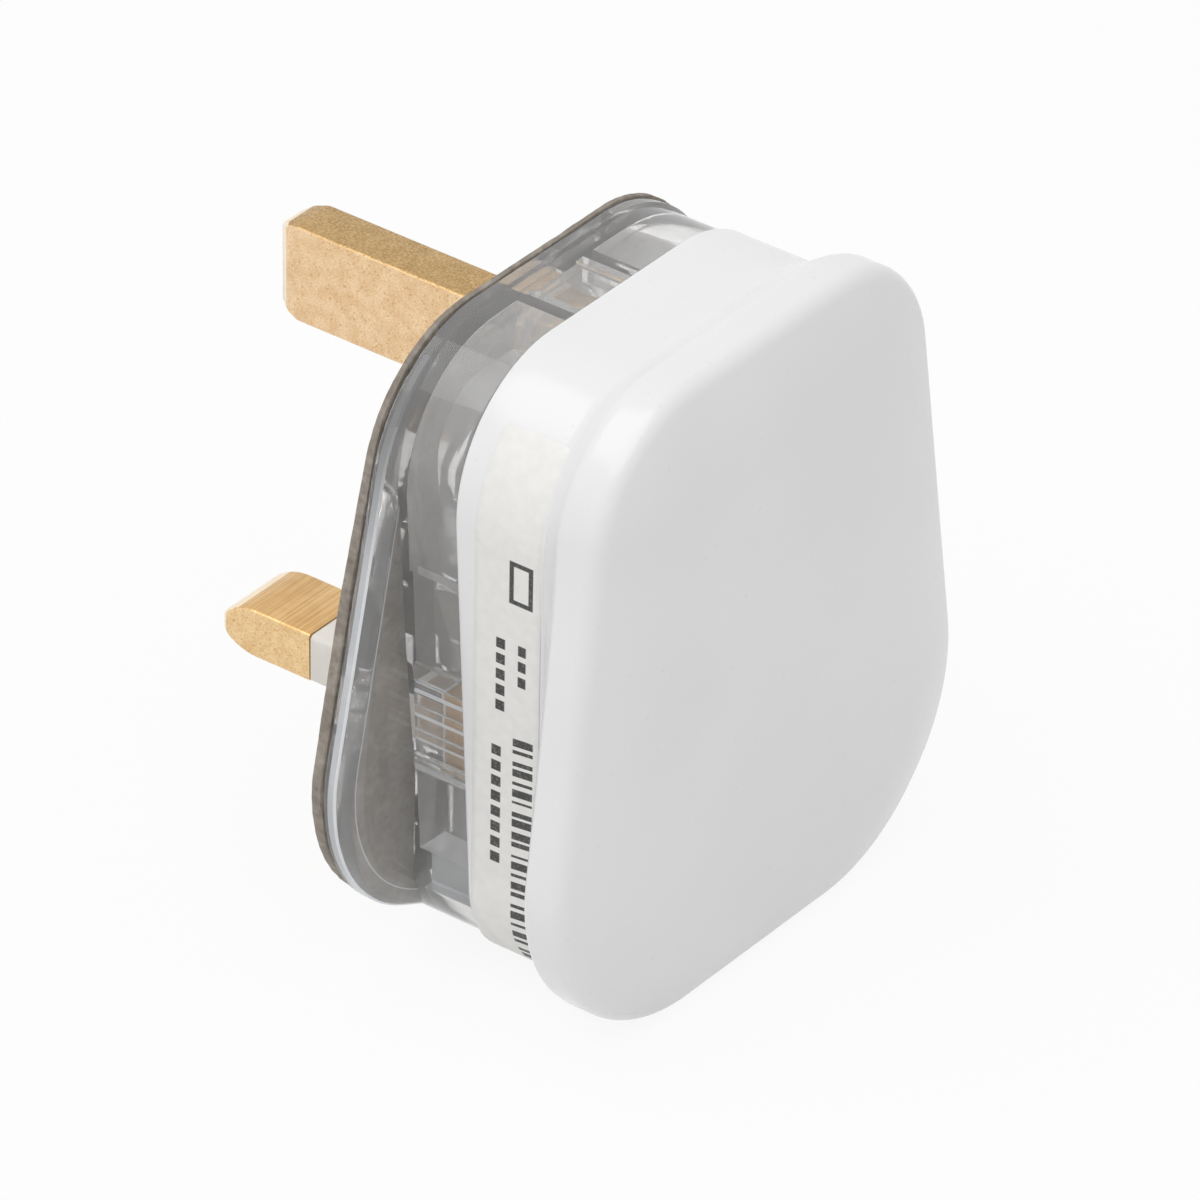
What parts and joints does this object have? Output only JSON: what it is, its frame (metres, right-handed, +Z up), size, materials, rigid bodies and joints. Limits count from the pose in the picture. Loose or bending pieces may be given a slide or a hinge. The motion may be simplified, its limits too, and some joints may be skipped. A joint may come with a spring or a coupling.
{
  "type": "uk three pin plug",
  "caption": "Rewirable mains plug with flat brass pins, a clear flanged base, a white lipped cover, a fuse and a cord grip inside.",
  "frame": {"origin": "on the base's wall face, midway between the earth pin and the line of the live and neutral pins", "axes": "+Y along the pins into the wall, +Z up with the earth pin uppermost, +X to the right seen from the cover"},
  "size_m": [0.0488, 0.0444, 0.0524],
  "materials": {
    "clear_plastic": "clear moulded plastic, slightly grey",
    "white_plastic": "glossy white moulding",
    "brass": "machined and tumbled",
    "sleeve_plastic": "white, satin",
    "screw_steel": "zinc plated",
    "clip_brass": "rolled strip",
    "ceramic": "unglazed ceramic",
    "cap_metal": "nickel plated",
    "grip_plastic": "white fibre board",
    "grey_card": "pressed grey board",
    "paper": "matt paper strip"
  },
  "bodies": {
    "root": {"base": "clear_plastic", "cover": "white_plastic", "earth_pin": "brass", "neutral_pin": "brass", "live_pin": "brass", "neutral_pin_sleeve": "sleeve_plastic", "live_pin_sleeve": "sleeve_plastic", "earth_terminal_screw": "screw_steel", "neutral_terminal_screw": "screw_steel", "live_terminal_block": "brass", "live_terminal_screw": "screw_steel", "lower_fuse_clip": "clip_brass", "upper_fuse_clip": "clip_brass", "fuse_body": "ceramic", "lower_fuse_cap": "cap_metal", "upper_fuse_cap": "cap_metal", "cord_grip": "grip_plastic", "cord_grip_screws": "screw_steel", "closing_screw": "screw_steel", "closing_nut": "brass", "wiring_card": "grey_card", "side_paper": "paper"}
  },
  "joints": []
}
